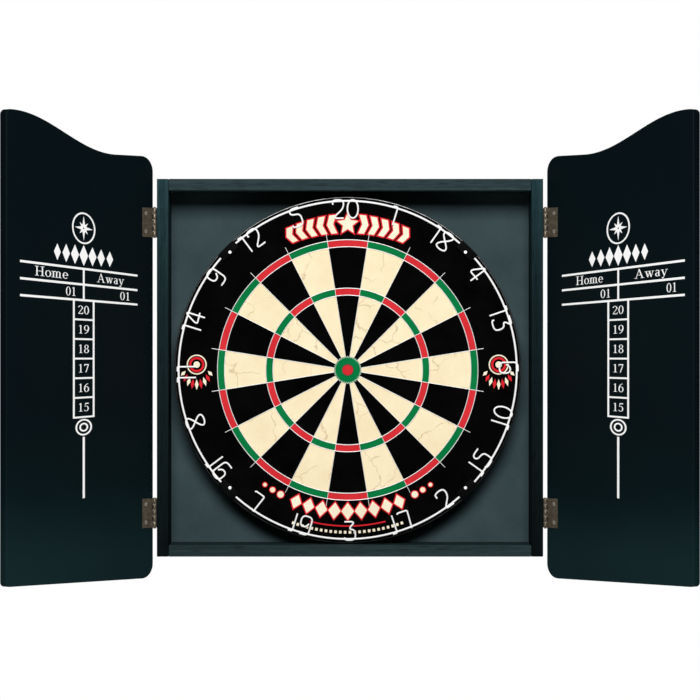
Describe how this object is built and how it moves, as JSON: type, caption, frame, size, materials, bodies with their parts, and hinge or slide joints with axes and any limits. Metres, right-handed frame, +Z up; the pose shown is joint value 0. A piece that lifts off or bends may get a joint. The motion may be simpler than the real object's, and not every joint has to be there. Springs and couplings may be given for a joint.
{
  "type": "dart board cabinet",
  "caption": "Wall-hung wooden cabinet with two hinged scoreboard doors and a bristle dart board that turns on its hanging screw.",
  "frame": {"origin": "centre of the case's rear face, where it meets the wall", "axes": "+X to the right of a person who faces the open cabinet, +Y into the wall, +Z up"},
  "size_m": [0.8726, 0.2616, 0.595],
  "materials": {
    "case_wood": "black-stained ash, open grain, satin",
    "back_board": "black-stained ash veneer, matt",
    "door_wood": "black satin lacquer with white printing",
    "hinge_metal": "bronzed steel, satin",
    "screw_metal": "zinc-plated steel, satin",
    "bracket_metal": "black-coated steel",
    "chipboard": "raw chipboard",
    "sisal": "packed sisal bristle, printed",
    "band_metal": "black-painted steel band",
    "wire": "galvanised wire",
    "white_wire": "white-coated wire",
    "clip_plastic": "black moulded plastic",
    "pad_rubber": "soft black rubber"
  },
  "bodies": {
    "case": {"side_panel_left": "case_wood", "side_panel_right": "case_wood", "top_panel": "case_wood", "bottom_panel": "case_wood", "back_panel": "back_board", "hanging_bracket": "bracket_metal", "bracket_screw_1": "screw_metal", "bracket_screw_2": "screw_metal", "bracket_screw_3": "screw_metal", "bracket_screw_4": "screw_metal", "hinge_left_upper_case_leaf": "hinge_metal", "hinge_left_upper_case_screw_1": "screw_metal", "hinge_left_upper_case_screw_2": "screw_metal", "hinge_left_upper_pin": "hinge_metal", "hinge_left_lower_case_leaf": "hinge_metal", "hinge_left_lower_case_screw_1": "screw_metal", "hinge_left_lower_case_screw_2": "screw_metal", "hinge_left_lower_pin": "hinge_metal", "hinge_right_upper_case_leaf": "hinge_metal", "hinge_right_upper_case_screw_1": "screw_metal", "hinge_right_upper_case_screw_2": "screw_metal", "hinge_right_upper_pin": "hinge_metal", "hinge_right_lower_case_leaf": "hinge_metal", "hinge_right_lower_case_screw_1": "screw_metal", "hinge_right_lower_case_screw_2": "screw_metal", "hinge_right_lower_pin": "hinge_metal"},
    "door_left": {"door_left": "door_wood", "hinge_left_upper_door_leaf": "hinge_metal", "hinge_left_upper_door_screw_1": "screw_metal", "hinge_left_upper_door_screw_2": "screw_metal", "hinge_left_lower_door_leaf": "hinge_metal", "hinge_left_lower_door_screw_1": "screw_metal", "hinge_left_lower_door_screw_2": "screw_metal"},
    "door_right": {"door_right": "door_wood", "hinge_right_upper_door_leaf": "hinge_metal", "hinge_right_upper_door_screw_1": "screw_metal", "hinge_right_upper_door_screw_2": "screw_metal", "hinge_right_lower_door_leaf": "hinge_metal", "hinge_right_lower_door_screw_1": "screw_metal", "hinge_right_lower_door_screw_2": "screw_metal"},
    "board": {"board_backing": "chipboard", "sisal_disc": "sisal", "rim_band": "band_metal", "bull_ring_outer": "wire", "bull_ring_inner": "wire", "spider": "wire", "ring_clip_1": "clip_plastic", "ring_clip_2": "clip_plastic", "ring_clip_3": "clip_plastic", "ring_clip_4": "clip_plastic", "board_screw": "screw_metal", "spacer_pad_1": "pad_rubber", "spacer_pad_2": "pad_rubber", "spacer_pad_3": "pad_rubber"},
    "number_ring": {"number_ring": "white_wire"}
  },
  "joints": [
    {"name": "door_left_hinge", "type": "hinge", "parent": "case", "child": "door_left", "pos_m": [-0.2528, -0.08, 0], "axis": [0, 0, 1], "range_deg": [-46.75, 133.25]},
    {"name": "door_right_hinge", "type": "hinge", "parent": "case", "child": "door_right", "pos_m": [0.2528, -0.08, 0], "axis": [0, 0, -1], "range_deg": [-46.75, 133.25]},
    {"name": "board_turn", "type": "hinge", "parent": "case", "child": "board", "pos_m": [-0.003, -0.035, -0.003], "axis": [0, -1, 0], "continuous": true},
    {"name": "number_ring_turn", "type": "hinge", "parent": "board", "child": "number_ring", "pos_m": [-0.003, -0.05565, -0.003], "axis": [0, -1, 0], "continuous": true}
  ]
}
